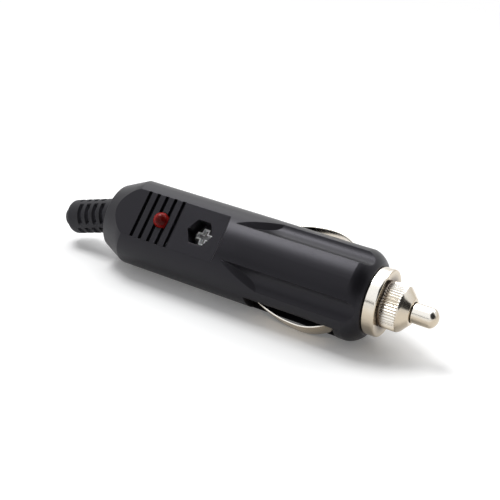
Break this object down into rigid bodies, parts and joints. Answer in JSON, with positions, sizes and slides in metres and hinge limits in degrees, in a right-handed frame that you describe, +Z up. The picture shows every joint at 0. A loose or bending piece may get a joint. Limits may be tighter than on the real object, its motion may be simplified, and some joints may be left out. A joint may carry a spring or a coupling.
{
  "type": "cigarette lighter plug",
  "caption": "Fused accessory plug for a vehicle lighter socket: two-part barrel, sprung centre and side contacts, red light, soft cable boot.",
  "frame": {"origin": "on the plug's axis, at the shoulder where the centre contact's bare stem starts", "axes": "+X along the axis towards the tip, +Z up, the plug lying on its barrel and its near side contact, with the panel leaning towards -Y"},
  "size_m": [0.0987, 0.0208, 0.0208],
  "materials": {
    "black_plastic": "satin moulded charcoal black",
    "black_rubber": "matt soft moulding",
    "nickel_plate": "bright nickel plate, warm tint",
    "nickel_strip": "bright plated spring strip",
    "spring_steel": "drawn spring wire",
    "brass_sheet": "stamped brass sheet",
    "zinc_steel": "bright zinc plate",
    "tinned_wire": "tinned copper",
    "fuse_glass": "clear",
    "red_lens": "clear red epoxy",
    "resistor_enamel": "glossy enamel"
  },
  "bodies": {
    "housing": {"upper_shell": "black_plastic", "lower_shell": "black_plastic", "clamp_screw": "zinc_steel", "clamp_nut": "zinc_steel", "strain_relief": "black_rubber", "spring_terminal": "brass_sheet", "pressure_spring": "spring_steel", "ground_strap": "brass_sheet", "led_lens": "red_lens", "led_anode_lead": "tinned_wire", "led_cathode_lead": "tinned_wire", "resistor_body": "resistor_enamel", "resistor_front_lead": "tinned_wire", "resistor_rear_lead": "tinned_wire"},
    "nut": {"retaining_nut": "nickel_plate"},
    "contact_train": {"centre_contact": "nickel_plate", "fuse_cap_front": "nickel_plate", "fuse_cap_rear": "nickel_plate", "fuse_glass": "fuse_glass", "fuse_wire": "tinned_wire"},
    "near_contact": {"side_contact_near": "nickel_strip"},
    "far_contact": {"side_contact_far": "nickel_strip"}
  },
  "joints": [
    {"name": "centre_contact_press", "type": "slide", "parent": "housing", "child": "contact_train", "axis": [1, 0, 0], "range_m": [-0.004, 0], "stiffness_N_per_m": 900, "springref_m": 0.004, "deforming": ["pressure_spring"]},
    {"name": "near_contact_press", "type": "hinge", "parent": "housing", "child": "near_contact", "pos_m": [-0.0393, -0.00499, -0.00574], "axis": [0, -0.7547, 0.6561], "range_deg": [0, 4.5], "stiffness_Nm_per_rad": 0.5},
    {"name": "far_contact_press", "type": "hinge", "parent": "housing", "child": "far_contact", "pos_m": [-0.0393, 0.00499, 0.00574], "axis": [0, 0.7547, -0.6561], "range_deg": [0, 4.5], "stiffness_Nm_per_rad": 0.5},
    {"name": "retaining_nut_turn", "type": "hinge", "parent": "housing", "child": "nut", "pos_m": [-0.0045, 0, 0], "axis": [1, 0, 0], "range_deg": [0, 1620]}
  ]
}
